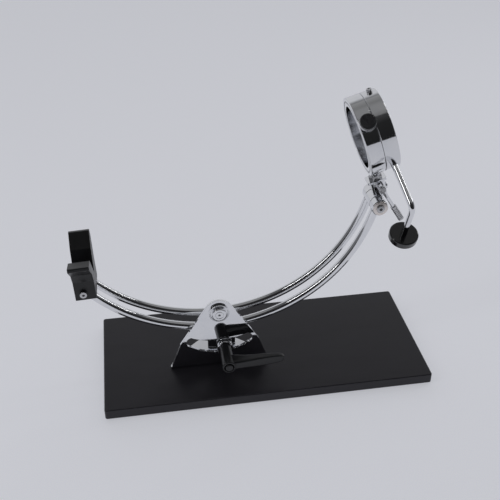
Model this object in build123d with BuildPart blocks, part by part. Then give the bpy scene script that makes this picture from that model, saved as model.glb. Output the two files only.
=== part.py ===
"""Rocking ham stand: a board, a folded bracket, a two-rod rocker with a saddle at its low end
and a turning ring at its high end. Millimetres, +Z up, +X towards the ring, origin at the
centre of the underside of the board's mat. The rocker is drawn at its stored tilt."""
from build123d import *
from math import acos, asin, atan2, cos, degrees, hypot, radians, sin, sqrt
import os

os.makedirs("parts", exist_ok=True)

# ---- driving dimensions -------------------------------------------------------------------
# board
BOARD_L = 400.0
BOARD_W = 178.0
MAT_T = 1.5
MAT_INSET = 6.0
BOARD_T = 13.4
BOARD_TOP = MAT_T + BOARD_T

# bracket
SHEET = 3.0
CHEEK_OUT = 27.0
CHEEK_IN = CHEEK_OUT - SHEET
PIVOT_X = -55.5
PIVOT_Z = 95.8
FOOT_HALF = 61.5
KNEE_HALF = 48.5
KNEE_Z = 51.0
CHEEK_TOP_R = 17.0
FOLD_R = 2.5
SLOT_LOW_R = 61.0
SLOT_END_X = 35.0
SLOT_TIP_X = 40.8
SLOT_TIP_Z = 54.0
SLOT_TOP_MID_Z = 52.6
SLOT_TOP_END_Z = 60.2
FLANGE_MID_HALF = 53.0
FLANGE_MID_Y = -8.0
FLANGE_END_HALF = 22.0
FLANGE_END_Y = 20.0
SCREW_X = 38.0
SCREW_FRONT_Y = -12.0
SCREW_REAR_Y = 11.0

# pivot bolt and clamp stud
PIVOT_R = 4.0
PIVOT_HEAD_R = 8.8
STUD_R = 4.0
STUD_ORBIT = 52.0
STUD_ANGLE = 6.6
SLIP = 0.05

# rocker rods
ROD_R = 5.0
ROD_Y = 14.0
ARC_X = -58.0
ARC_Z = 263.0
ARC_R = 196.0
ARC_LEFT = -54.5
ARC_RIGHT = 76.0

# rocker carriage
PLATE_IN = 17.0
PLATE_OUT = 22.0
CARRIAGE_X = -52.7
CARRIAGE_W = 34.0
CARRIAGE_LOW = 30.0
CARRIAGE_HIGH = 73.0
BRIDGE_X = -55.0
BRIDGE_W = 22.0
BRIDGE_LOW = 57.0
BRIDGE_HIGH = 75.0

# saddle
SADDLE_W = 24.0
SADDLE_TILT = -3.0
SADDLE_X = -208.0
SADDLE_Z = 130.7
SADDLE_SCREW_X = -210.5

# head hinge
HINGE_X = 136.0
HINGE_Z = 218.0
KNUCKLE_R = 9.5
KNUCKLE_OUT = 21.0
KNUCKLE_IN = 9.3
HEAD_HALF = 8.7
HINGE_PIN_R = 4.0

# ring head
RING_X = 124.5
RING_Z = 305.0
RING_TILT = 17.5
RING_R = 45.6
RING_HALF = 17.0
SEAM_HALF = 0.1
SLEEVE_OUT = 40.0
BORE_R = 36.0
STEM_S = -8.5
STEM_R = 4.5
HEAD_PLATE_R = 58.0
HEAD_PLATE_T = 2.5
HEAD_PLATE_W = 23.0
BLOCK_W = 16.0
BLOCK_END = 80.0

# ring fittings, as angles about the ring axis from its top towards the front
LOCK_ANGLE = 50.0
HANDLE_ANGLE = 127.0
TOP_SCREW_ANGLE = -5.0
REAR_SCREW_ANGLE = -113.0
FITTING_S = 9.0

# turning handle
BAR_R = 3.5
BEND_R = 101.0
KNOB_AT = (151.0, -65.0, 210.0)
KNOB_R = 16.5
KNOB_T = 9.0

# head lock bar
LOCK_X = 138.7
LOCK_Z = 238.7
LOCK_BAR_Y = -12.5
LOCK_BAR_R = 2.25
LOCK_BAR_ANGLE = -57.4
LOCK_GRIP_R = 3.6

# clamp lever
COLLAR_R = 9.9
HUB_END_Y = -70.0

STUD_X = PIVOT_X + STUD_ORBIT * sin(radians(STUD_ANGLE))
STUD_Z = PIVOT_Z - STUD_ORBIT * cos(radians(STUD_ANGLE))
RING_AXIS = Vector(cos(radians(RING_TILT)), 0, sin(radians(RING_TILT)))
RING_UP = Vector(-sin(radians(RING_TILT)), 0, cos(radians(RING_TILT)))
RING_C = Vector(RING_X, 0, RING_Z)


# ---- shared places ------------------------------------------------------------------------
def front_plane(y):
    """Plane facing the front (-Y); its local x is +X and its local y is +Z."""
    return Plane(origin=(0, y, 0), x_dir=(1, 0, 0), z_dir=(0, -1, 0))


def cross_axis(x, y, z):
    """Plane at a point with its normal towards the front, for round cross parts."""
    return Plane(origin=(x, y, z), x_dir=(1, 0, 0), z_dir=(0, -1, 0))


def spoke(angle):
    """Unit vector out of the ring axis, at an angle from the ring's top towards the front."""
    return RING_UP * cos(radians(angle)) + Vector(0, -1, 0) * sin(radians(angle))


def ring_point(along, angle, radius):
    """Point at a distance along the ring axis and a radius out along a spoke."""
    return RING_C + RING_AXIS * along + spoke(angle) * radius


def ring_plane(along):
    """Plane across the ring axis, normal along the axis."""
    return Plane(origin=RING_C + RING_AXIS * along, x_dir=(0, -1, 0), z_dir=RING_AXIS)


def spoke_plane(along, angle, radius):
    """Plane on a spoke with its normal pointing outwards and local x along the ring axis."""
    return Plane(origin=ring_point(along, angle, radius), x_dir=RING_AXIS, z_dir=spoke(angle))


def rod_point(y, angle):
    """Point on a rod's centre line, at an angle right of straight below the arc's centre."""
    turn = radians(angle)
    return Vector(ARC_X + ARC_R * sin(turn), y, ARC_Z - ARC_R * cos(turn))


def rod_line(y, first=ARC_LEFT, last=ARC_RIGHT):
    """Centre line of a rocker rod between two angles."""
    ThreePointArc(rod_point(y, first), rod_point(y, (first + last) / 2), rod_point(y, last))


def rod_section(y, angle):
    """Plane across a rod at an angle."""
    turn = radians(angle)
    return Plane(origin=rod_point(y, angle), z_dir=(cos(turn), 0, sin(turn)))


def save(solid, label):
    """Label a finished piece and write its STEP file."""
    solid.label = label
    export_step(solid, "parts/" + label + ".step")


def make_round(label, plane, outer, inner, depth, edge=0.0):
    """A washer, tube or disc: outer and inner radius, depth along the plane's normal."""
    with BuildPart() as piece:
        with BuildSketch(plane):
            Circle(outer)
            if inner > 0:
                Circle(inner, mode=Mode.SUBTRACT)
        extrude(amount=depth)
        if edge > 0:
            rims = piece.edges().filter_by(GeomType.CIRCLE)
            outer_rims = [rim for rim in rims if abs(rim.radius - outer) < 0.01]
            chamfer(outer_rims, length=edge)
    save(piece.part, label)


# ---- board --------------------------------------------------------------------------------
SCREW_SPOTS = [(PIVOT_X - SCREW_X, SCREW_FRONT_Y), (PIVOT_X + SCREW_X, SCREW_FRONT_Y),
               (PIVOT_X, SCREW_REAR_Y)]
INSERT_R = 3.5
INSERT_DEPTH = 10.0
THREAD_R = 2.5


def make_board():
    with BuildPart() as base_board:
        with BuildSketch(Plane.XY.offset(MAT_T)):
            RectangleRounded(BOARD_L, BOARD_W, 3.0)
        extrude(amount=BOARD_T)
        top = base_board.faces().sort_by(Axis.Z)[-1]
        bottom = base_board.faces().sort_by(Axis.Z)[0]
        chamfer(top.edges(), length=0.9)
        chamfer(bottom.edges(), length=0.9)
        with BuildSketch(Plane.XY.offset(BOARD_TOP)):
            with Locations(*SCREW_SPOTS):
                Circle(INSERT_R)
        extrude(amount=-INSERT_DEPTH, mode=Mode.SUBTRACT)
    save(base_board.part, "base_board")


def make_mat():
    with BuildPart() as anti_slip_mat:
        with BuildSketch(Plane.XY):
            RectangleRounded(BOARD_L - 2 * MAT_INSET, BOARD_W - 2 * MAT_INSET, 6.0)
        extrude(amount=MAT_T)
    save(anti_slip_mat.part, "anti_slip_mat")


def make_insert_nuts():
    with BuildPart() as insert_nuts:
        with BuildSketch(Plane.XY.offset(BOARD_TOP - INSERT_DEPTH)):
            with Locations(*SCREW_SPOTS):
                Circle(INSERT_R)
                Circle(THREAD_R, mode=Mode.SUBTRACT)
        extrude(amount=INSERT_DEPTH)
    save(insert_nuts.part, "insert_nuts")


def make_bracket_screws():
    web_top = BOARD_TOP + SHEET
    with BuildPart() as bracket_screws:
        with BuildSketch(Plane.XY.offset(BOARD_TOP - 9.0)):
            with Locations(*SCREW_SPOTS):
                Circle(THREAD_R)
        extrude(amount=9.0 + SHEET)
        with BuildSketch(Plane.XY.offset(web_top)):
            with Locations(*SCREW_SPOTS):
                Circle(4.6)
        extrude(amount=3.0)
        heads = bracket_screws.edges().filter_by(GeomType.CIRCLE).group_by(Axis.Z)[-1]
        fillet(heads, radius=1.2)
        with BuildSketch(Plane.XY.offset(web_top + 3.0)):
            with Locations(*SCREW_SPOTS):
                RegularPolygon(1.7, 6)
        extrude(amount=-1.8, mode=Mode.SUBTRACT)
    save(bracket_screws.part, "bracket_screws")


# ---- bracket ------------------------------------------------------------------------------
def cheek_outline():
    """Outline of the upright plate: splayed foot, straight flanks, round top about the pivot."""
    reach = hypot(KNEE_HALF, PIVOT_Z - KNEE_Z)
    touch = atan2(KNEE_Z - PIVOT_Z, KNEE_HALF) + acos(CHEEK_TOP_R / reach)
    tx = CHEEK_TOP_R * cos(touch)
    tz = PIVOT_Z + CHEEK_TOP_R * sin(touch)
    top = (PIVOT_X, PIVOT_Z + CHEEK_TOP_R)
    Polyline((PIVOT_X - tx, tz), (PIVOT_X - KNEE_HALF, KNEE_Z), (PIVOT_X - FOOT_HALF, BOARD_TOP),
             (PIVOT_X + FOOT_HALF, BOARD_TOP), (PIVOT_X + KNEE_HALF, KNEE_Z), (PIVOT_X + tx, tz))
    ThreePointArc((PIVOT_X + tx, tz), top, (PIVOT_X - tx, tz))


def slot_outline():
    """Curved slot for the clamp stud: a low edge about the pivot and a flatter upper edge."""
    low_end_z = PIVOT_Z - sqrt(SLOT_LOW_R ** 2 - SLOT_END_X ** 2)
    left_low = (PIVOT_X - SLOT_END_X, low_end_z)
    right_low = (PIVOT_X + SLOT_END_X, low_end_z)
    left_top = (PIVOT_X - SLOT_END_X, SLOT_TOP_END_Z)
    right_top = (PIVOT_X + SLOT_END_X, SLOT_TOP_END_Z)
    ThreePointArc(left_low, (PIVOT_X, PIVOT_Z - SLOT_LOW_R), right_low)
    ThreePointArc(right_low, (PIVOT_X + SLOT_TIP_X, SLOT_TIP_Z), right_top)
    ThreePointArc(right_top, (PIVOT_X, SLOT_TOP_MID_Z), left_top)
    ThreePointArc(left_top, (PIVOT_X - SLOT_TIP_X, SLOT_TIP_Z), left_low)


def flange_outline():
    """Outline of the flange on the board, as wide as the plate in front and narrow at the back."""
    Polyline((PIVOT_X - FOOT_HALF, -CHEEK_OUT), (PIVOT_X - FOOT_HALF, -CHEEK_IN),
             (PIVOT_X - FLANGE_MID_HALF, FLANGE_MID_Y), (PIVOT_X - FLANGE_END_HALF, FLANGE_END_Y),
             (PIVOT_X + FLANGE_END_HALF, FLANGE_END_Y), (PIVOT_X + FLANGE_MID_HALF, FLANGE_MID_Y),
             (PIVOT_X + FOOT_HALF, -CHEEK_IN), (PIVOT_X + FOOT_HALF, -CHEEK_OUT),
             (PIVOT_X - FOOT_HALF, -CHEEK_OUT))


def make_bracket():
    """Upright plate at the front, folded at its foot into a tapering flange on the board."""
    with BuildPart() as bracket:
        with BuildSketch(front_plane(-CHEEK_IN)):
            with BuildLine():
                cheek_outline()
            make_face()
        extrude(amount=SHEET)
        with BuildSketch(Plane.XY.offset(BOARD_TOP)):
            with BuildLine():
                flange_outline()
            make_face()
        extrude(amount=SHEET)
        corners = bracket.edges().filter_by(Axis.Z).sort_by(Axis.Y)[-2:]
        fillet(corners, radius=5.0)
        low_edges = bracket.edges().filter_by(Axis.X).group_by(Axis.Z)[0]
        fillet(low_edges.sort_by(Axis.Y)[0], radius=FOLD_R)
        with BuildSketch(front_plane(-CHEEK_IN + 1)):
            with BuildLine():
                slot_outline()
            make_face()
        extrude(amount=SHEET + 2, mode=Mode.SUBTRACT)
        with BuildSketch(front_plane(-CHEEK_IN + 1)):
            with Locations((PIVOT_X, PIVOT_Z)):
                Circle(PIVOT_R)
        extrude(amount=SHEET + 2, mode=Mode.SUBTRACT)
        with BuildSketch(Plane.XY.offset(BOARD_TOP)):
            with Locations(*SCREW_SPOTS):
                Circle(THREAD_R)
        extrude(amount=SHEET, mode=Mode.SUBTRACT)
    save(bracket.part, "bracket")


# ---- pivot --------------------------------------------------------------------------------
DISH_T = 1.2
DISH_R = 12.2
NUT_T = 3.5


def make_pivot_bolt():
    head_back = -CHEEK_OUT - DISH_T
    with BuildPart() as pivot_bolt:
        with BuildSketch(cross_axis(PIVOT_X, head_back, PIVOT_Z)):
            Circle(PIVOT_HEAD_R)
        extrude(amount=5.5)
        rims = pivot_bolt.edges().filter_by(GeomType.CIRCLE).sort_by(Axis.Y)
        fillet(rims[0], radius=1.4)
        with BuildSketch(cross_axis(PIVOT_X, head_back, PIVOT_Z)):
            Circle(PIVOT_R)
        extrude(amount=-(CHEEK_OUT - PLATE_IN + DISH_T + SLIP + NUT_T))
        with BuildSketch(cross_axis(PIVOT_X, head_back - 5.5, PIVOT_Z)):
            Circle(5.2)
            Circle(4.4, mode=Mode.SUBTRACT)
        extrude(amount=-0.5, mode=Mode.SUBTRACT)
        with BuildSketch(cross_axis(PIVOT_X, head_back - 5.5, PIVOT_Z)):
            Circle(1.4)
        extrude(amount=-2.5, mode=Mode.SUBTRACT)
    save(pivot_bolt.part, "pivot_bolt")


def make_dish_washer():
    """Cupped washer under the pivot bolt's head, with a raised rim."""
    with BuildPart() as pivot_dish_washer:
        with BuildSketch(cross_axis(PIVOT_X, -CHEEK_OUT, PIVOT_Z)):
            Circle(DISH_R)
            Circle(PIVOT_R, mode=Mode.SUBTRACT)
        extrude(amount=3.2)
        with BuildSketch(cross_axis(PIVOT_X, -CHEEK_OUT - DISH_T, PIVOT_Z)):
            Circle(DISH_R - 1.6)
        extrude(amount=3.0, mode=Mode.SUBTRACT)
        rims = pivot_dish_washer.edges().filter_by(GeomType.CIRCLE).group_by(Axis.Y)[0]
        fillet(rims, radius=0.6)
    save(pivot_dish_washer.part, "pivot_dish_washer")


def make_pivot_nut():
    """Low hexagon nut behind the carriage plate."""
    with BuildPart() as pivot_nut:
        with BuildSketch(cross_axis(PIVOT_X, -PLATE_IN + SLIP + NUT_T, PIVOT_Z)):
            RegularPolygon(7.5, 6)
            Circle(PIVOT_R, mode=Mode.SUBTRACT)
        extrude(amount=NUT_T)
    save(pivot_nut.part, "pivot_nut")


def make_pivot_washer():
    """Slip washer between the bracket and the carriage plate."""
    make_round("pivot_washer", cross_axis(PIVOT_X, -PLATE_OUT - SLIP, PIVOT_Z), 8.8, PIVOT_R,
               CHEEK_IN - PLATE_OUT - SLIP)


# ---- rocker -------------------------------------------------------------------------------
def make_rod(label, y):
    with BuildPart() as rod:
        with BuildLine():
            rod_line(y)
        with BuildSketch(rod_section(y, ARC_LEFT)):
            Circle(ROD_R)
        sweep()
        with BuildSketch(cross_axis(HINGE_X, y + 2 * ROD_R, HINGE_Z)):
            Circle(KNUCKLE_R)
        extrude(amount=4 * ROD_R, mode=Mode.SUBTRACT)
        with BuildSketch(cross_axis(SADDLE_SCREW_X, y + ROD_R, saddle_screw_z())):
            Circle(THREAD_R)
        extrude(amount=2 * ROD_R, mode=Mode.SUBTRACT)
    save(rod.part, label)


def saddle_screw_z():
    """Height of the rod's centre line at the saddle screw."""
    return ARC_Z - sqrt(ARC_R ** 2 - (SADDLE_SCREW_X - ARC_X) ** 2)


def make_carriage():
    """Plate behind the bracket, from the pivot down to the stud, grooved for the front rod."""
    with BuildPart() as carriage:
        with BuildSketch(front_plane(-PLATE_IN)):
            with Locations((PIVOT_X, PIVOT_Z)):
                Circle(9.0)
            with Locations((CARRIAGE_X, (CARRIAGE_LOW + CARRIAGE_HIGH) / 2)):
                RectangleRounded(CARRIAGE_W, CARRIAGE_HIGH - CARRIAGE_LOW, 6.0)
            make_hull()
        extrude(amount=PLATE_OUT - PLATE_IN)
        with BuildSketch(front_plane(-PLATE_IN)):
            with Locations((PIVOT_X, PIVOT_Z)):
                Circle(PIVOT_R + SLIP)
            with Locations((STUD_X, STUD_Z)):
                Circle(STUD_R)
        extrude(amount=PLATE_OUT - PLATE_IN, mode=Mode.SUBTRACT)
        with BuildLine():
            rod_line(-ROD_Y, -20.0, 20.0)
        with BuildSketch(rod_section(-ROD_Y, -20.0)):
            Circle(ROD_R)
        sweep(mode=Mode.SUBTRACT)
    save(carriage.part, "carriage_plate")


def make_bridge():
    """Block on the carriage plate that the front rod passes through and the rear rod seats in."""
    with BuildPart() as rod_bridge:
        with BuildSketch(front_plane(ROD_Y)):
            with Locations((BRIDGE_X, (BRIDGE_LOW + BRIDGE_HIGH) / 2)):
                RectangleRounded(BRIDGE_W, BRIDGE_HIGH - BRIDGE_LOW, 2.0)
        extrude(amount=ROD_Y + PLATE_IN)
        with BuildLine():
            rod_line(-ROD_Y, -20.0, 20.0)
        with BuildSketch(rod_section(-ROD_Y, -20.0)):
            Circle(ROD_R)
        sweep(mode=Mode.SUBTRACT)
        with BuildLine():
            rod_line(ROD_Y, -20.0, 20.0)
        with BuildSketch(rod_section(ROD_Y, -20.0)):
            Circle(ROD_R)
        sweep(mode=Mode.SUBTRACT)
    save(rod_bridge.part, "rod_bridge")


def make_knuckle(label, side):
    """Outer hinge knuckle at the end of a rod."""
    start_y = side * KNUCKLE_IN if side < 0 else side * KNUCKLE_OUT
    make_round(label, cross_axis(HINGE_X, start_y, HINGE_Z), KNUCKLE_R, HINGE_PIN_R,
               KNUCKLE_OUT - KNUCKLE_IN, 0.5)


def make_hinge_screw():
    shank = 2 * KNUCKLE_OUT + 1.5 + 5.0
    with BuildPart() as hinge_screw:
        with BuildSketch(cross_axis(HINGE_X, -KNUCKLE_OUT - 1.5, HINGE_Z)):
            Circle(4.9)
        extrude(amount=1.8)
        rim = hinge_screw.edges().filter_by(GeomType.CIRCLE).sort_by(Axis.Y)[0]
        fillet(rim, radius=0.9)
        with BuildSketch(cross_axis(HINGE_X, -KNUCKLE_OUT - 1.5, HINGE_Z)):
            Circle(HINGE_PIN_R)
        extrude(amount=-shank)
        with BuildSketch(cross_axis(HINGE_X, -KNUCKLE_OUT - 3.3, HINGE_Z)):
            RegularPolygon(2.1, 6)
        extrude(amount=-2.6, mode=Mode.SUBTRACT)
    save(hinge_screw.part, "hinge_screw")


def make_hinge_cap():
    """Domed cap nut on the rear end of the hinge screw."""
    with BuildPart() as hinge_cap_nut:
        with BuildSketch(cross_axis(HINGE_X, KNUCKLE_OUT + 8.0, HINGE_Z)):
            Circle(7.0)
        extrude(amount=8.0)
        rim = hinge_cap_nut.edges().filter_by(GeomType.CIRCLE).sort_by(Axis.Y)[-1]
        fillet(rim, radius=3.5)
        with BuildSketch(cross_axis(HINGE_X, KNUCKLE_OUT + 5.0, HINGE_Z)):
            Circle(HINGE_PIN_R)
        extrude(amount=5.0, mode=Mode.SUBTRACT)
    save(hinge_cap_nut.part, "hinge_cap_nut")


def make_clamp_stud():
    """Stud through the slot, with a flat head behind the carriage plate."""
    with BuildPart() as clamp_stud:
        with BuildSketch(cross_axis(STUD_X, -PLATE_IN, STUD_Z)):
            Circle(STUD_R)
        extrude(amount=45.0 - PLATE_IN)
        with BuildSketch(cross_axis(STUD_X, -PLATE_IN + 4.5, STUD_Z)):
            Circle(7.0)
        extrude(amount=4.5)
        rim = clamp_stud.edges().filter_by(GeomType.CIRCLE).sort_by(Axis.Y)[-1]
        fillet(rim, radius=1.5)
    save(clamp_stud.part, "clamp_stud")


def make_clamp_washer():
    """Friction washer on the stud, behind the slot."""
    make_round("clamp_washer", cross_axis(STUD_X, -PLATE_OUT, STUD_Z), 10.0, STUD_R,
               CHEEK_IN - PLATE_OUT - 0.1)


# ---- saddle -------------------------------------------------------------------------------
def saddle_plane():
    """Plane at the saddle's left face; local x is +Y and local y runs up the saddle."""
    tilt = radians(SADDLE_TILT)
    across = Vector(cos(tilt), 0, -sin(tilt))
    return Plane(origin=Vector(SADDLE_X, 0, SADDLE_Z) - across * (SADDLE_W / 2),
                 x_dir=(0, 1, 0), z_dir=across)


def make_saddle():
    """Saddle with a V between two horns; the front horn leans out above a waist."""
    with BuildPart() as saddle:
        with BuildSketch(saddle_plane()):
            with BuildLine():
                Polyline((-25, 0), (-23, 24), (-28, 37), (-45, 53), (-44, 57), (-25, 53),
                         (0, 20), (12, 46), (28, 61), (33, 60), (36, 50), (27, 20), (25, 0),
                         (-25, 0))
            make_face()
        extrude(amount=SADDLE_W)
        long_edges = [edge for edge in saddle.edges() if abs(edge.length - SADDLE_W) < 0.01]
        fillet(long_edges, radius=1.2)
        for side in (-1, 1):
            with BuildSketch(cross_axis(SADDLE_SCREW_X, side * 25.5 + (side + 1) * 10.0,
                                        saddle_screw_z())):
                Circle(4.3)
            extrude(amount=20.0, mode=Mode.SUBTRACT)
        with BuildSketch(cross_axis(SADDLE_SCREW_X, 26.0, saddle_screw_z())):
            Circle(THREAD_R)
        extrude(amount=52.0, mode=Mode.SUBTRACT)
        for y in (-ROD_Y, ROD_Y):
            with BuildLine():
                rod_line(y, ARC_LEFT, -34.0)
            with BuildSketch(rod_section(y, ARC_LEFT)):
                Circle(ROD_R)
            sweep(mode=Mode.SUBTRACT)
    save(saddle.part, "saddle")


def make_saddle_screws():
    z = saddle_screw_z()
    with BuildPart() as saddle_screws:
        for side in (-1, 1):
            outward = Plane(origin=(SADDLE_SCREW_X, side * 25.5, z), x_dir=(1, 0, 0),
                            z_dir=(0, side, 0))
            with BuildSketch(outward):
                Circle(4.0)
            extrude(amount=3.0)
            with BuildSketch(outward):
                Circle(THREAD_R)
            extrude(amount=-16.0)
            with BuildSketch(outward.offset(3.0)):
                RegularPolygon(1.9, 6)
            extrude(amount=-1.9, mode=Mode.SUBTRACT)
    save(saddle_screws.part, "saddle_screws")


# ---- clamp lever --------------------------------------------------------------------------
CORE_R = 6.0
CORE_END_Y = -52.0
LEVER_SCREW_R = 2.9
COLLAR_Y = -CHEEK_OUT - 0.2
COLLAR_T = 6.0
HUB_R_IN = 7.3
HUB_R_OUT = 8.3


def make_lever_collar():
    with BuildPart() as lever_collar:
        with BuildSketch(cross_axis(STUD_X, COLLAR_Y, STUD_Z)):
            Circle(COLLAR_R)
        extrude(amount=COLLAR_T)
        rims = lever_collar.edges().filter_by(GeomType.CIRCLE)
        fillet(rims, radius=1.6)
        with BuildSketch(cross_axis(STUD_X, COLLAR_Y, STUD_Z)):
            Circle(STUD_R + SLIP)
        extrude(amount=COLLAR_T, mode=Mode.SUBTRACT)
    save(lever_collar.part, "lever_collar")


def make_lever_insert():
    """Splined steel insert that is threaded onto the stud."""
    start = COLLAR_Y - COLLAR_T
    depth = start - CORE_END_Y
    with BuildPart() as lever_insert:
        with BuildSketch(cross_axis(STUD_X, start, STUD_Z)):
            Circle(CORE_R - 0.6)
            with PolarLocations(CORE_R - 0.6, 16):
                Rectangle(1.0, 1.0)
        extrude(amount=depth)
        with BuildSketch(cross_axis(STUD_X, start, STUD_Z)):
            Circle(STUD_R + SLIP)
        extrude(amount=13.0, mode=Mode.SUBTRACT)
        with BuildSketch(cross_axis(STUD_X, CORE_END_Y, STUD_Z)):
            Circle(LEVER_SCREW_R)
        extrude(amount=-3.0, mode=Mode.SUBTRACT)
    save(lever_insert.part, "lever_insert")


def make_lever_screw():
    with BuildPart() as lever_screw:
        with BuildSketch(cross_axis(STUD_X, CORE_END_Y + 3.0, STUD_Z)):
            Circle(LEVER_SCREW_R)
        extrude(amount=3.0 + CORE_END_Y - HUB_END_Y - 2.0)
        with BuildSketch(cross_axis(STUD_X, HUB_END_Y + 2.0, STUD_Z)):
            Circle(4.9)
        extrude(amount=3.4)
        rim = lever_screw.edges().filter_by(GeomType.CIRCLE).sort_by(Axis.Y)[0]
        fillet(rim, radius=1.4)
    save(lever_screw.part, "lever_screw")


def make_lever_spring():
    """Return spring between the handle's inner shoulder and the retaining screw's head."""
    wire = 0.5
    coil = 4.4
    length = CORE_END_Y - 3.0 - (HUB_END_Y + 2.0) - 2 * wire - 0.2
    start = Plane(origin=(STUD_X, CORE_END_Y - 3.1 - wire, STUD_Z), x_dir=(1, 0, 0),
                  z_dir=(0, -1, 0))
    turns = start * Helix(pitch=length / 5, height=length, radius=coil)
    with BuildPart() as lever_spring:
        with BuildLine():
            add(turns)
        with BuildSketch(Plane(origin=turns @ 0, z_dir=turns % 0)):
            Circle(wire)
        sweep(is_frenet=True)
    save(lever_spring.part, "lever_spring")


def make_clamp_lever():
    """Moulded handle: a tapered barrel with a flat arm that narrows to a rounded tip."""
    arm = [(0.0, -59.5, 0.0, 9.8, 6.6), (7.0, -60.2, 0.0, 8.4, 6.5), (15.0, -61.0, 0.0, 7.2, 6.4),
           (34.0, -61.6, 0.2, 5.2, 6.5), (52.0, -62.3, 1.0, 3.8, 6.1), (60.0, -62.6, 1.4, 3.3, 5.5),
           (65.0, -62.8, 1.7, 2.8, 4.3), (67.6, -62.9, 1.8, 2.0, 2.6)]
    with BuildPart() as clamp_lever:
        for dx, y, dz, half_y, half_z in arm:
            with BuildSketch(Plane(origin=(STUD_X + dx, y, STUD_Z + dz), x_dir=(0, 1, 0),
                                   z_dir=(1, 0, 0))):
                RectangleRounded(2 * half_y, 2 * half_z, 0.45 * half_y)
        loft()
        with BuildSketch(cross_axis(STUD_X, COLLAR_Y - COLLAR_T - 0.2, STUD_Z)):
            Circle(HUB_R_IN)
        with BuildSketch(cross_axis(STUD_X, HUB_END_Y, STUD_Z)):
            Circle(HUB_R_OUT)
        loft()
        mouth = clamp_lever.edges().filter_by(GeomType.CIRCLE).sort_by(Axis.Y)[0]
        fillet(mouth, radius=1.2)
        with BuildSketch(cross_axis(STUD_X, COLLAR_Y, STUD_Z)):
            Circle(CORE_R + 0.1)
        extrude(amount=COLLAR_Y - CORE_END_Y + 0.4, mode=Mode.SUBTRACT)
        with BuildSketch(cross_axis(STUD_X, COLLAR_Y, STUD_Z)):
            Circle(LEVER_SCREW_R + 0.1)
        extrude(amount=COLLAR_Y - HUB_END_Y + 1.0, mode=Mode.SUBTRACT)
        with BuildSketch(cross_axis(STUD_X, CORE_END_Y - 3.0, STUD_Z)):
            Circle(6.2)
        extrude(amount=CORE_END_Y - 3.0 - HUB_END_Y + 1.0, mode=Mode.SUBTRACT)
    save(clamp_lever.part, "clamp_lever")


# ---- head ---------------------------------------------------------------------------------
def make_head_block():
    """Block under the ring, one piece with the middle knuckle of the hinge."""
    with BuildPart() as head_block:
        with BuildSketch(spoke_plane(STEM_S, 180, HEAD_PLATE_R + HEAD_PLATE_T)):
            Rectangle(BLOCK_W, 2 * HEAD_HALF)
        extrude(amount=BLOCK_END - HEAD_PLATE_R - HEAD_PLATE_T)
        corners = head_block.edges().filter_by(RING_UP_AXIS)
        chamfer(corners, length=2.2)
        with BuildSketch(cross_axis(HINGE_X, HEAD_HALF, HINGE_Z)):
            Circle(KNUCKLE_R)
        extrude(amount=2 * HEAD_HALF)
        with BuildSketch(cross_axis(HINGE_X, HEAD_HALF, HINGE_Z)):
            Circle(HINGE_PIN_R + SLIP)
        extrude(amount=2 * HEAD_HALF, mode=Mode.SUBTRACT)
        with BuildSketch(spoke_plane(STEM_S, 180, HEAD_PLATE_R + HEAD_PLATE_T)):
            Circle(STEM_R)
        extrude(amount=3.0, mode=Mode.SUBTRACT)
        with BuildSketch(cross_axis(LOCK_X, HEAD_HALF, LOCK_Z)):
            Circle(THREAD_R + 0.5 + SLIP)
        extrude(amount=2 * HEAD_HALF, mode=Mode.SUBTRACT)
    save(head_block.part, "head_block")


def make_head_plate():
    with BuildPart() as head_plate:
        with BuildSketch(spoke_plane(STEM_S, 180, HEAD_PLATE_R)):
            RectangleRounded(HEAD_PLATE_W, 2 * HEAD_HALF, 3.0)
            Circle(STEM_R, mode=Mode.SUBTRACT)
        extrude(amount=HEAD_PLATE_T)
    save(head_plate.part, "head_plate")


def make_ring_stem():
    with BuildPart() as ring_stem:
        with BuildSketch(spoke_plane(STEM_S, 180, SLEEVE_OUT + 1.5)):
            Circle(STEM_R)
        extrude(amount=HEAD_PLATE_R + HEAD_PLATE_T + 3.0 - SLEEVE_OUT - 1.5)
    save(ring_stem.part, "ring_stem")


def make_stem_nut():
    with BuildPart() as stem_nut:
        with BuildSketch(spoke_plane(STEM_S, 180, HEAD_PLATE_R - 5.0)):
            RegularPolygon(7.6, 6)
            Circle(STEM_R, mode=Mode.SUBTRACT)
        extrude(amount=5.0)
    save(stem_nut.part, "stem_nut")


def make_side_screw():
    """Adjusting screw in the side of the head block."""
    side = Plane(origin=ring_point(STEM_S + BLOCK_W / 2, 180, 72.0), z_dir=RING_AXIS)
    with BuildPart() as head_side_screw:
        with BuildSketch(side):
            Circle(4.2)
        extrude(amount=3.2)
        rim = head_side_screw.edges().filter_by(GeomType.CIRCLE).sort_by(Axis.X)[-1]
        fillet(rim, radius=1.6)
    save(head_side_screw.part, "head_side_screw")


def make_fixed_ring():
    """Left half of the ring, held by the stem; the turning half's sleeve runs inside it."""
    with BuildPart() as fixed_ring:
        with BuildSketch(ring_plane(-RING_HALF)):
            Circle(RING_R)
            Circle(SLEEVE_OUT + SLIP, mode=Mode.SUBTRACT)
        extrude(amount=RING_HALF - SEAM_HALF)
        outer = [rim for rim in fixed_ring.edges().filter_by(GeomType.CIRCLE)
                 if abs(rim.radius - RING_R) < 0.01]
        fillet(outer, radius=0.8)
        with BuildSketch(ring_plane(-RING_HALF)):
            Circle(SLEEVE_OUT + 2.0)
        extrude(amount=1.6, mode=Mode.SUBTRACT)
        with BuildSketch(spoke_plane(STEM_S, 180, SLEEVE_OUT + 1.5)):
            Circle(STEM_R)
        extrude(amount=10.0, mode=Mode.SUBTRACT)
        with BuildSketch(spoke_plane(STEM_S, LOCK_ANGLE, SLEEVE_OUT - 2.0)):
            Circle(4.0 + SLIP)
        extrude(amount=12.0, mode=Mode.SUBTRACT)
    save(fixed_ring.part, "fixed_ring")


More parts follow.
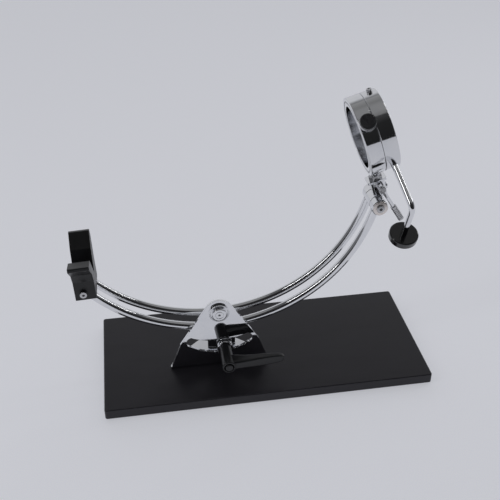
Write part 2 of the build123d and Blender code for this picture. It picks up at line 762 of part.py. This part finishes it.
# angle, start radius and hole radius of the handle's seat and the two hoof screw holes
RING_HOLES = [(HANDLE_ANGLE, BORE_R + 2.5, BAR_R), (TOP_SCREW_ANGLE, BORE_R - 3.0, 3.0 + SLIP),
              (REAR_SCREW_ANGLE, BORE_R - 3.0, 3.0 + SLIP)]


def make_turning_ring():
    """Right half of the ring, seated on the sleeve that runs through the fixed half."""
    with BuildPart() as turning_ring:
        with BuildSketch(ring_plane(SEAM_HALF)):
            Circle(RING_R)
            Circle(SLEEVE_OUT, mode=Mode.SUBTRACT)
        extrude(amount=RING_HALF - SEAM_HALF)
        outer = [rim for rim in turning_ring.edges().filter_by(GeomType.CIRCLE)
                 if abs(rim.radius - RING_R) < 0.01]
        fillet(outer, radius=0.8)
        for angle, start, hole in RING_HOLES:
            with BuildSketch(spoke_plane(FITTING_S, angle, start)):
                Circle(hole)
            extrude(amount=16.0, mode=Mode.SUBTRACT)
    save(turning_ring.part, "turning_ring")


def make_ring_sleeve():
    """Sleeve that lines both halves of the ring, grooved for the retaining ring."""
    with BuildPart() as ring_sleeve:
        with BuildSketch(ring_plane(-RING_HALF)):
            Circle(SLEEVE_OUT)
            Circle(BORE_R, mode=Mode.SUBTRACT)
        extrude(amount=2 * RING_HALF)
        with BuildSketch(ring_plane(-RING_HALF + 0.4)):
            Circle(SLEEVE_OUT + 1.0)
            Circle(SLEEVE_OUT - 1.2, mode=Mode.SUBTRACT)
        extrude(amount=1.0, mode=Mode.SUBTRACT)
        for angle, start, hole in RING_HOLES:
            with BuildSketch(spoke_plane(FITTING_S, angle, start)):
                Circle(hole)
            extrude(amount=16.0, mode=Mode.SUBTRACT)
    save(ring_sleeve.part, "ring_sleeve")


def make_retaining_ring():
    make_round("retaining_ring", ring_plane(-RING_HALF + 0.4), SLEEVE_OUT + 1.6,
               SLEEVE_OUT - 1.2, 1.0)


def make_ring_screw(label, angle):
    """Pointed clamping screw through the turning ring, driven from outside."""
    top = RING_R + 3.9
    with BuildPart() as screw:
        with BuildSketch(spoke_plane(FITTING_S, angle, BORE_R + 3.0)):
            Circle(3.0)
        extrude(amount=top - BORE_R - 3.0)
        with BuildSketch(spoke_plane(FITTING_S, angle, BORE_R + 3.0)):
            Circle(3.0)
        with BuildSketch(spoke_plane(FITTING_S, angle, BORE_R + 0.8)):
            Circle(1.0)
        loft()
        with BuildSketch(spoke_plane(FITTING_S, angle, top)):
            RegularPolygon(1.6, 6)
        extrude(amount=-3.0, mode=Mode.SUBTRACT)
    save(screw.part, label)


def make_ring_lock_screw():
    """Large-headed thumb screw that bears on the turning sleeve."""
    with BuildPart() as ring_lock_screw:
        with BuildSketch(spoke_plane(STEM_S, LOCK_ANGLE, SLEEVE_OUT + 0.3)):
            Circle(4.0)
        extrude(amount=12.0)
        with BuildSketch(spoke_plane(STEM_S, LOCK_ANGLE, 52.0)):
            Circle(9.2)
            with PolarLocations(9.4, 36):
                Circle(0.42, mode=Mode.SUBTRACT)
        extrude(amount=7.0)
        with BuildSketch(spoke_plane(STEM_S, LOCK_ANGLE, 59.0)):
            Circle(8.4)
        extrude(amount=1.2)
        with BuildSketch(spoke_plane(STEM_S, LOCK_ANGLE, 49.5)):
            Circle(6.0)
        extrude(amount=2.5)
    save(ring_lock_screw.part, "ring_lock_screw")


# ---- turning handle -----------------------------------------------------------------------
def knob_plane():
    """Plane at the knob's upper face, normal along the handle's last leg."""
    leg = ring_point(FITTING_S, HANDLE_ANGLE, BEND_R) - Vector(*KNOB_AT)
    return Plane(origin=KNOB_AT, z_dir=leg.normalized())


def make_handle_bar():
    root = ring_point(FITTING_S, HANDLE_ANGLE, BORE_R + 2.5)
    bend = ring_point(FITTING_S, HANDLE_ANGLE, BEND_R)
    leg = (Vector(*KNOB_AT) - bend).normalized()
    finish = Vector(*KNOB_AT) + leg * (KNOB_T - 1.0)
    with BuildPart() as handle_bar:
        with BuildLine():
            FilletPolyline(root, bend, finish, radius=9.0)
        with BuildSketch(spoke_plane(FITTING_S, HANDLE_ANGLE, BORE_R + 2.5)):
            Circle(BAR_R)
        sweep()
    save(handle_bar.part, "handle_bar")


def make_turn_knob():
    """Disc knob, free to turn on the end of the handle bar."""
    with BuildPart() as turn_knob:
        with BuildSketch(knob_plane()):
            Circle(KNOB_R)
        extrude(amount=-KNOB_T)
        rims = turn_knob.edges().filter_by(GeomType.CIRCLE)
        fillet(rims, radius=1.8)
        with BuildSketch(knob_plane()):
            Circle(BAR_R + 0.08)
        extrude(amount=-KNOB_T + 0.6, mode=Mode.SUBTRACT)
    save(turn_knob.part, "turn_knob")


# ---- head lock ----------------------------------------------------------------------------
def lock_plane(distance):
    """Plane across the lock bar, at a distance from its screw along the bar."""
    angle = radians(LOCK_BAR_ANGLE)
    way = Vector(cos(angle), 0, sin(angle))
    return Plane(origin=Vector(LOCK_X, LOCK_BAR_Y, LOCK_Z) + way * distance,
                 x_dir=(0, 1, 0), z_dir=way)


def make_head_lock_screw():
    with BuildPart() as head_lock_screw:
        with BuildSketch(cross_axis(LOCK_X, HEAD_HALF - 1.0, LOCK_Z)):
            Circle(THREAD_R + 0.5)
        extrude(amount=2 * HEAD_HALF)
        with BuildSketch(cross_axis(LOCK_X, -HEAD_HALF - 0.3, LOCK_Z)):
            Circle(4.2)
        extrude(amount=8.0)
        rim = head_lock_screw.edges().filter_by(GeomType.CIRCLE).sort_by(Axis.Y)[0]
        fillet(rim, radius=1.0)
        with BuildSketch(lock_plane(-8.0)):
            Circle(LOCK_BAR_R)
        extrude(amount=16.0, mode=Mode.SUBTRACT)
    save(head_lock_screw.part, "head_lock_screw")


def make_lock_bar():
    with BuildPart() as lock_bar:
        with BuildSketch(lock_plane(-8.0)):
            Circle(LOCK_BAR_R)
        extrude(amount=8.0 + 45.0)
    save(lock_bar.part, "lock_bar")


def make_lock_grip():
    """Ribbed sleeve on the lower end of the lock bar."""
    with BuildPart() as lock_grip:
        with BuildSketch(lock_plane(29.0)):
            Circle(LOCK_GRIP_R)
        extrude(amount=21.0)
        for k in range(7):
            with BuildSketch(lock_plane(32.0 + 2.4 * k)):
                Circle(LOCK_GRIP_R + 1.0)
                Circle(LOCK_GRIP_R - 0.45, mode=Mode.SUBTRACT)
            extrude(amount=0.9, mode=Mode.SUBTRACT)
        with BuildSketch(lock_plane(29.0)):
            Circle(LOCK_BAR_R)
        extrude(amount=16.0, mode=Mode.SUBTRACT)
    save(lock_grip.part, "lock_grip")


RING_UP_AXIS = Axis((0, 0, 0), RING_UP)

make_board()
make_mat()
make_insert_nuts()
make_bracket_screws()
make_bracket()
make_pivot_bolt()
make_dish_washer()
make_pivot_nut()
make_pivot_washer()
make_rod("arc_rod_front", -ROD_Y)
make_rod("arc_rod_rear", ROD_Y)
make_carriage()
make_bridge()
make_clamp_stud()
make_clamp_washer()
make_knuckle("knuckle_front", -1)
make_knuckle("knuckle_rear", 1)
make_hinge_screw()
make_round("hinge_washer", cross_axis(HINGE_X, -KNUCKLE_OUT, HINGE_Z), 8.8, HINGE_PIN_R, 1.5, 0.3)
make_hinge_cap()
make_saddle()
make_saddle_screws()
make_lever_collar()
make_lever_insert()
make_lever_screw()
make_lever_spring()
make_clamp_lever()
make_head_block()
make_head_plate()
make_ring_stem()
make_stem_nut()
make_side_screw()
make_fixed_ring()
make_turning_ring()
make_ring_sleeve()
make_retaining_ring()
make_ring_screw("hoof_screw_top", TOP_SCREW_ANGLE)
make_ring_screw("hoof_screw_rear", REAR_SCREW_ANGLE)
make_ring_lock_screw()
make_handle_bar()
make_turn_knob()
make_head_lock_screw()
make_lock_bar()
make_lock_grip()
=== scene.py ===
"""Looks for the rocking ham stand: materials, small visual details, studio and camera, all set
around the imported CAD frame. Metres, +Z up, +X towards the ring."""

import math

import bpy
from mathutils import Matrix, Vector


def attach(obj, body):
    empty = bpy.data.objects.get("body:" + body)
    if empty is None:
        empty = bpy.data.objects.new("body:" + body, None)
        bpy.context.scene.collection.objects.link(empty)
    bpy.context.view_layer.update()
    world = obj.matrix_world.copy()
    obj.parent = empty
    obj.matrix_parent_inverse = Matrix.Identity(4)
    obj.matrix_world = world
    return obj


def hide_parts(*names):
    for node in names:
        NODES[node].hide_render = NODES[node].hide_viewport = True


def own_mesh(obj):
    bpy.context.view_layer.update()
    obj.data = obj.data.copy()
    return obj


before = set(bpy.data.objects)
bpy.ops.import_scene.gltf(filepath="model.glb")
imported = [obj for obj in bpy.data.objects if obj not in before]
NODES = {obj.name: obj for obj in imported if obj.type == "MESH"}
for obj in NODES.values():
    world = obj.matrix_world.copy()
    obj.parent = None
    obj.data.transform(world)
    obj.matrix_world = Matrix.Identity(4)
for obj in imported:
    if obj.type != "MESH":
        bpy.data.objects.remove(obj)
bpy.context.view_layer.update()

SCENE = bpy.context.scene


# ---- node helpers -------------------------------------------------------------------------
class Shader:
    """A small builder for one procedural material."""

    def __init__(self, name):
        self.mat = bpy.data.materials.new(name)
        self.mat.use_nodes = True
        self.tree = self.mat.node_tree
        self.bsdf = self.tree.nodes["Principled BSDF"]
        self.coord = self.new("ShaderNodeTexCoord")
        self.here = self.coord.outputs["Object"]

    def new(self, kind, **values):
        node = self.tree.nodes.new(kind)
        for key, value in values.items():
            setattr(node, key, value)
        return node

    def link(self, a, b):
        self.tree.links.new(a, b)

    def set(self, **values):
        for key, value in values.items():
            self.bsdf.inputs[key.replace("_", " ")].default_value = value

    def mapped(self, scale=(1, 1, 1), rotation=(0, 0, 0)):
        node = self.new("ShaderNodeMapping")
        node.inputs["Scale"].default_value = scale
        node.inputs["Rotation"].default_value = rotation
        self.link(self.here, node.inputs["Vector"])
        return node.outputs["Vector"]

    def noise(self, scale, detail=4.0, rough=0.55, vector=None, distortion=0.0):
        node = self.new("ShaderNodeTexNoise")
        node.inputs["Scale"].default_value = scale
        node.inputs["Detail"].default_value = detail
        node.inputs["Roughness"].default_value = rough
        node.inputs["Distortion"].default_value = distortion
        self.link(vector or self.here, node.inputs["Vector"])
        return node.outputs["Fac"]

    def ramp(self, value, stops):
        node = self.new("ShaderNodeValToRGB")
        ramp = node.color_ramp
        while len(ramp.elements) < len(stops):
            ramp.elements.new(0.5)
        for element, (place, colour) in zip(ramp.elements, stops):
            element.position = place
            if isinstance(colour, (int, float)):
                colour = (colour, colour, colour)
            element.color = (*colour, 1.0)
        self.link(value, node.inputs["Fac"])
        return node.outputs["Color"]

    def math(self, kind, a, b):
        node = self.new("ShaderNodeMath", operation=kind)
        for socket, value in zip(node.inputs, (a, b)):
            if isinstance(value, (int, float)):
                socket.default_value = value
            else:
                self.link(value, socket)
        return node.outputs[0]

    def mix(self, factor, a, b):
        node = self.new("ShaderNodeMix", data_type="RGBA")
        places = {socket.identifier: socket for socket in node.inputs}
        for name, value in (("Factor_Float", factor), ("A_Color", a), ("B_Color", b)):
            if isinstance(value, tuple):
                places[name].default_value = (*value, 1.0)
            elif isinstance(value, (int, float)):
                places[name].default_value = value
            else:
                self.link(value, places[name])
        return [out for out in node.outputs if out.identifier == "Result_Color"][0]

    def bump(self, height, strength, distance, under=None):
        node = self.new("ShaderNodeBump")
        node.inputs["Strength"].default_value = strength
        node.inputs["Distance"].default_value = distance
        self.link(height, node.inputs["Height"])
        if under is not None:
            self.link(under, node.inputs["Normal"])
        self.link(node.outputs["Normal"], self.bsdf.inputs["Normal"])
        return node.outputs["Normal"]

    def soft_edge(self, radius):
        """Normal that is rounded over each sharp edge by a small radius."""
        node = self.new("ShaderNodeBevel", samples=4)
        node.inputs["Radius"].default_value = radius
        return node.outputs["Normal"]

    def painted_edge_highlight(self, radius=0.0006):
        """Painted highlight mask: bright along sharp edges, where the rounded normal leaves the
        face's own.
        """
        geometry = self.new("ShaderNodeNewGeometry")
        dot = self.new("ShaderNodeVectorMath", operation="DOT_PRODUCT")
        self.link(self.soft_edge(radius), dot.inputs[0])
        self.link(geometry.outputs["Normal"], dot.inputs[1])
        return self.ramp(dot.outputs["Value"], ((0.90, 1.0), (0.995, 0.0)))

    def finish(self, colour=None, roughness=None):
        if colour is not None:
            self.link(colour, self.bsdf.inputs["Base Color"])
        if roughness is not None:
            self.link(roughness, self.bsdf.inputs["Roughness"])
        return self.mat


def chrome(name, base=0.80, low=0.025, high=0.09, streak=(1.0, 1.0, 1.0), streak_depth=0.02,
           bow=0.0):
    """Bright chrome plate: faint smears, fine polishing lines and a very slight waviness.

    A bow leans the shading back by that slope, as on a pressed sheet that isn't quite flat.
    """
    s = Shader(name)
    s.set(Metallic=1.0)
    smear = s.noise(55.0, 5.0, 0.6, distortion=0.4)
    lines = s.noise(900.0, 3.0, 0.7, s.mapped(streak))
    wave = s.noise(24.0, 2.0, 0.5)
    tone = s.ramp(smear, ((0.30, (base * 0.93, base * 0.94, base * 0.97)),
                          (0.70, (base, base * 1.005, base * 1.02))))
    rough = s.ramp(s.math("MULTIPLY", smear, lines), ((0.10, low), (0.55, high)))
    under = s.soft_edge(0.0005)
    if bow:
        split = s.new("ShaderNodeSeparateXYZ")
        s.link(s.here, split.inputs["Vector"])
        under = s.bump(s.math("MULTIPLY", split.outputs["Z"], -bow), 1.0, 1.0, under)
    first = s.bump(wave, 0.10, 0.0006, under)
    s.bump(lines, streak_depth, 0.0002, first)
    return s.finish(tone, rough)


def steel(name, tint=(0.60, 0.60, 0.61), low=0.16, high=0.32, grain=(1.0, 1.0, 6.0)):
    """Turned and zinc-plated steel: cutting marks, cloudy plating and a painted highlight along the
    edges.
    """
    s = Shader(name)
    s.set(Metallic=1.0)
    cloud = s.noise(160.0, 4.0, 0.6)
    cuts = s.noise(1500.0, 2.0, 0.6, s.mapped(grain))
    dark = tuple(0.72 * c for c in tint)
    # Painted highlight: the tone along sharp edges is lightened towards pale steel.
    tone = s.mix(s.painted_edge_highlight(), s.ramp(cloud, ((0.32, dark), (0.68, tint))), (0.82, 0.82, 0.83))
    rough = s.ramp(cuts, ((0.25, low), (0.75, high)))
    s.bump(cuts, 0.10, 0.0002, s.soft_edge(0.0003))
    return s.finish(tone, rough)


def black_lacquer(name):
    """Satin black lacquer on the board: orange peel, dust specks, faint rub marks and a painted
    highlight along the edges.
    """
    s = Shader(name)
    s.set(Metallic=0.0, IOR=1.38)
    peel = s.noise(1100.0, 3.0, 0.65)
    rub = s.noise(14.0, 6.0, 0.65, s.mapped((1.0, 3.0, 1.0)))
    specks = s.ramp(s.noise(2600.0, 1.0, 0.5), ((0.74, 0.0), (0.80, 1.0)))
    tone = s.ramp(rub, ((0.30, (0.0270, 0.0255, 0.0315)), (0.72, (0.0325, 0.0308, 0.0375))))
    tone = s.mix(specks, tone, (0.036, 0.036, 0.040))
    # Painted highlight: sharp edges of the board are lightened to a pale grey.
    tone = s.mix(s.painted_edge_highlight(), tone, (0.14, 0.14, 0.15))
    rough = s.ramp(rub, ((0.25, 0.28), (0.75, 0.38)))
    s.bump(peel, 0.35, 0.00016, s.soft_edge(0.0012))
    return s.finish(tone, rough)


def black_plastic(name, tone=0.006, low=0.30, high=0.44, grain=0.25):
    """Moulded black plastic: spark-eroded grain and a painted highlight along the edges."""
    s = Shader(name)
    s.set(Metallic=0.0, IOR=1.5)
    fine = s.noise(2100.0, 4.0, 0.7)
    blotch = s.noise(60.0, 3.0, 0.6)
    colour = s.ramp(blotch, ((0.30, (tone, tone, tone * 1.12)),
                             (0.75, (tone * 1.5, tone * 1.5, tone * 1.75))))
    # Painted highlight: sharp edges are lightened to a dark grey.
    colour = s.mix(s.painted_edge_highlight(), colour, (0.10, 0.10, 0.11))
    rough = s.ramp(s.math("ADD", s.math("MULTIPLY", fine, 0.5), s.math("MULTIPLY", blotch, 0.5)),
                   ((0.35, low), (0.65, high)))
    s.bump(fine, grain, 0.00010, s.soft_edge(0.0008))
    return s.finish(colour, rough)


def gloss_knob(name):
    """Polished black thermoset with hairline rub marks."""
    s = Shader(name)
    s.set(Metallic=0.0, IOR=1.52, Coat_Weight=0.6, Coat_Roughness=0.06)
    hair = s.noise(700.0, 3.0, 0.7, s.mapped((1.0, 8.0, 1.0)))
    cloud = s.noise(80.0, 4.0, 0.6)
    colour = s.ramp(cloud, ((0.3, (0.004, 0.004, 0.005)), (0.7, (0.008, 0.008, 0.009))))
    rough = s.ramp(hair, ((0.3, 0.12), (0.75, 0.26)))
    s.bump(hair, 0.04, 0.0001)
    return s.finish(colour, rough)


def rubber(name):
    """Matt rubber mat with moulded cross ribs."""
    s = Shader(name)
    s.set(Metallic=0.0, IOR=1.5, Sheen_Weight=0.12, Sheen_Roughness=0.5)
    ribs = s.new("ShaderNodeTexWave", wave_type="BANDS", bands_direction="X")
    ribs.inputs["Scale"].default_value = 110.0
    ribs.inputs["Distortion"].default_value = 0.0
    s.link(s.here, ribs.inputs["Vector"])
    pores = s.noise(1800.0, 4.0, 0.7)
    colour = s.ramp(pores, ((0.3, (0.010, 0.010, 0.010)), (0.7, (0.022, 0.022, 0.022))))
    rough = s.ramp(pores, ((0.3, 0.70), (0.7, 0.88)))
    under = s.bump(ribs.outputs["Fac"], 0.5, 0.0006)
    s.bump(pores, 0.2, 0.0001, under)
    return s.finish(colour, rough)


def copper_toned(name):
    """Turned washer with a warm plated face."""
    s = Shader(name)
    s.set(Metallic=1.0)
    cloud = s.noise(220.0, 4.0, 0.6)
    cuts = s.noise(1900.0, 2.0, 0.6)
    colour = s.ramp(cloud, ((0.3, (0.72, 0.66, 0.62)), (0.7, (0.84, 0.79, 0.76))))
    rough = s.ramp(cuts, ((0.3, 0.20), (0.7, 0.34)))
    s.bump(cuts, 0.10, 0.0001)
    return s.finish(colour, rough)


CHROME = chrome("chrome_plate")
CHROME_SHEET = chrome("chrome_sheet", 0.82, 0.03, 0.08, bow=0.05)
CHROME_ROD = chrome("chrome_rod", 0.82, 0.03, 0.10, (1.0, 6.0, 1.0), 0.03)
CHROME_RING = chrome("chrome_ring", 0.76, 0.04, 0.13, (6.0, 1.0, 1.0), 0.05)
STEEL = steel("turned_steel")
STEEL_DARK = steel("dark_steel", (0.42, 0.42, 0.44), 0.22, 0.38)
STEEL_HEAD = steel("screw_head", (0.30, 0.30, 0.32), 0.20, 0.34)
COPPER = copper_toned("copper_toned")
BOARD = black_lacquer("black_lacquer")
PLASTIC = black_plastic("black_plastic")
LEVER = black_plastic("lever_plastic", 0.011, 0.26, 0.38, 0.18)
KNOB = gloss_knob("knob_gloss")
RUBBER = rubber("rubber_mat")

FINISH = {
    "base_board": BOARD, "anti_slip_mat": RUBBER, "insert_nuts": STEEL_DARK,
    "bracket": CHROME_SHEET, "bracket_screws": STEEL, "pivot_bolt": CHROME,
    "pivot_dish_washer": CHROME, "pivot_nut": STEEL, "pivot_washer": STEEL,
    "arc_rod_front": CHROME_ROD, "arc_rod_rear": CHROME_ROD, "carriage_plate": CHROME,
    "rod_bridge": CHROME, "clamp_stud": STEEL, "clamp_washer": STEEL,
    "knuckle_front": CHROME, "knuckle_rear": CHROME, "hinge_screw": STEEL,
    "hinge_washer": COPPER, "hinge_cap_nut": CHROME, "saddle": PLASTIC,
    "saddle_screws": STEEL, "lever_collar": CHROME, "lever_insert": STEEL_DARK,
    "lever_screw": LEVER, "lever_spring": STEEL, "clamp_lever": LEVER, "head_block": CHROME,
    "head_plate": CHROME, "ring_stem": CHROME, "stem_nut": STEEL, "head_side_screw": CHROME,
    "fixed_ring": CHROME_RING, "turning_ring": CHROME_RING, "ring_sleeve": CHROME_RING,
    "retaining_ring": STEEL_DARK, "hoof_screw_top": STEEL, "hoof_screw_rear": STEEL,
    "ring_lock_screw": STEEL_HEAD, "handle_bar": CHROME_ROD, "turn_knob": KNOB,
    "head_lock_screw": STEEL, "lock_bar": CHROME, "lock_grip": STEEL,
}
for node_name, material in FINISH.items():
    mesh_slots = NODES[node_name].material_slots
    for mesh_slot in mesh_slots:
        mesh_slot.material = material
    if not mesh_slots:
        NODES[node_name].data.materials.append(material)


def make_return_spring():
    """Copy of the lever's spring on its own mesh, attached to the lever core in place of the hidden
    original.
    """
    node = NODES["lever_spring"]
    spring = bpy.data.objects.new("return_spring", node.data.copy())
    SCENE.collection.objects.link(spring)
    spring.matrix_world = node.matrix_world
    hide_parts("lever_spring")
    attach(spring, "lever_core")
    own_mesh(spring)


make_return_spring()


# ---- floor, light and camera --------------------------------------------------------------
BACKDROP = 0.62         # world tones, linear
CEILING = 0.11
SIDES = (0.15, 0.153, 0.163, 1.0)
SIDES_FROM, SIDES_TO = 0.80, 0.90       # share of a direction that points sideways
FLOOR_HALF = 14.0
FLOOR_GLOW = 0.72
LOOK_AT_LOW, LOOK_AT_MIDDLE, LOOK_AT_HIGH = (0, 0, 0.1), (0, 0, 0.15), (0, 0, 0.2)


def make_floor():
    """Large plain pale floor."""
    mesh = bpy.data.meshes.new("floor")
    half = FLOOR_HALF
    mesh.from_pydata([(-half, -half, 0), (half, -half, 0), (half, half, 0), (-half, half, 0)],
                     [], [(0, 1, 2, 3)])
    floor = bpy.data.objects.new("floor", mesh)
    SCENE.collection.objects.link(floor)
    s = Shader("floor_paper")
    s.set(Metallic=0.0, Specular_IOR_Level=0.0)
    fibre = s.noise(900.0, 3.0, 0.6)
    tone = s.ramp(fibre, ((0.35, (0.552, 0.560, 0.598)), (0.65, (0.585, 0.593, 0.634))))
    s.set(Emission_Strength=FLOOR_GLOW)
    s.link(tone, s.bsdf.inputs["Emission Color"])
    rough = s.ramp(fibre, ((0.3, 0.92), (0.7, 1.0)))
    mesh.materials.append(s.finish(tone, rough))


def make_world():
    """Studio: a pale backdrop behind, a dim ceiling strip, grey sides and a dark front."""
    world = bpy.data.worlds.new("studio")
    world.use_nodes = True
    SCENE.world = world
    tree = world.node_tree

    def value(operation, first, second):
        node = tree.nodes.new("ShaderNodeMath")
        node.operation = operation
        for socket, item in zip(node.inputs, (first, second)):
            if isinstance(item, (int, float)):
                socket.default_value = item
            else:
                tree.links.new(item, socket)
        return node.outputs[0]

    coord = tree.nodes.new("ShaderNodeTexCoord")
    split = tree.nodes.new("ShaderNodeSeparateXYZ")
    tree.links.new(coord.outputs["Generated"], split.inputs["Vector"])
    front = value("MULTIPLY", split.outputs["Y"], -1.0)
    lean = value("ARCTAN2", front, split.outputs["Z"])
    place_in_ramp = value("ADD", value("MULTIPLY", lean, 1.0 / math.pi), 0.5)
    ramp = tree.nodes.new("ShaderNodeValToRGB")
    tree.links.new(place_in_ramp, ramp.inputs["Fac"])
    stops = ((-90, BACKDROP), (-55, BACKDROP), (-41, 0.15), (-20, 0.06), (-8, CEILING),
             (10, CEILING), (20, 0.06), (45, 0.02), (90, 0.015))
    while len(ramp.color_ramp.elements) < len(stops):
        ramp.color_ramp.elements.new(0.5)
    for element, (angle, tone) in zip(ramp.color_ramp.elements, stops):
        element.position = angle / 180.0 + 0.5
        element.color = (tone * 0.98, tone * 0.99, tone * 1.03, 1.0)
    side = value("ABSOLUTE", split.outputs["X"], 0.0)
    reach = tree.nodes.new("ShaderNodeMapRange")
    reach.interpolation_type = "SMOOTHSTEP"
    reach.inputs["From Min"].default_value = SIDES_FROM
    reach.inputs["From Max"].default_value = SIDES_TO
    tree.links.new(side, reach.inputs["Value"])
    blend = tree.nodes.new("ShaderNodeMix")
    blend.data_type = "RGBA"
    places = {socket.identifier: socket for socket in blend.inputs}
    tree.links.new(reach.outputs["Result"], places["Factor_Float"])
    tree.links.new(ramp.outputs["Color"], places["A_Color"])
    places["B_Color"].default_value = SIDES
    mixed = [out for out in blend.outputs if out.identifier == "Result_Color"][0]
    background = tree.nodes["Background"]
    tree.links.new(mixed, background.inputs["Color"])
    background.inputs["Strength"].default_value = 1.0


def area_light(name, place, target, size, power):
    data = bpy.data.lights.new(name, "AREA")
    data.shape = "RECTANGLE"
    data.size, data.size_y = size
    data.energy = power
    light = bpy.data.objects.new(name, data)
    SCENE.collection.objects.link(light)
    light.location = place
    aim = Vector(target) - Vector(place)
    light.rotation_euler = aim.to_track_quat("-Z", "Y").to_euler()
    return light


def make_lights():
    """Weak overall fill, a tall strip on each side, and a strip above that isn't reflected."""
    sun = bpy.data.lights.new("top_fill", "SUN")
    sun.energy = 0.15
    sun.angle = math.radians(70)
    lamp = bpy.data.objects.new("top_fill", sun)
    SCENE.collection.objects.link(lamp)
    lamp.rotation_euler = (math.radians(-8), math.radians(8), 0)
    area_light("soft_left", (-1.3, -0.5, 1.2), LOOK_AT_MIDDLE, (0.16, 1.0), 2.6)
    area_light("soft_right", (1.4, 0.5, 1.0), LOOK_AT_HIGH, (0.12, 0.9), 1.8)
    overhead = area_light("soft_top", (0.0, 0.55, 1.9), LOOK_AT_LOW, (1.2, 0.08), 0.7)
    overhead.visible_glossy = False


CAMERA_PLACE = (-0.13706694, -0.78775632, 0.67987483)
CAMERA_TURN = (0.156074638, 0.575154146, -0.003951)     # yaw, pitch and roll, radians
CAMERA_LENS = 57.56


def make_camera():
    """The shot's own viewpoint: a long lens from the front, well above the stand."""
    yaw, pitch, roll = CAMERA_TURN
    forward = Vector((math.sin(yaw) * math.cos(pitch), math.cos(yaw) * math.cos(pitch),
                      -math.sin(pitch)))
    level = Vector((math.cos(yaw), -math.sin(yaw), 0))
    upright = level.cross(forward)
    right = level * math.cos(roll) + upright * math.sin(roll)
    up = -level * math.sin(roll) + upright * math.cos(roll)
    data = bpy.data.cameras.new("camera")
    data.sensor_width = 36.0
    data.lens = CAMERA_LENS
    data.clip_start = 0.02
    data.clip_end = 60.0
    camera = bpy.data.objects.new("camera", data)
    SCENE.collection.objects.link(camera)
    turn = Matrix((right, up, -forward)).transposed()
    camera.matrix_world = Matrix.Translation(CAMERA_PLACE) @ turn.to_4x4()
    SCENE.camera = camera


make_floor()
make_world()
make_lights()
make_camera()
SCENE.view_settings.view_transform = "Standard"
SCENE.view_settings.look = "None"
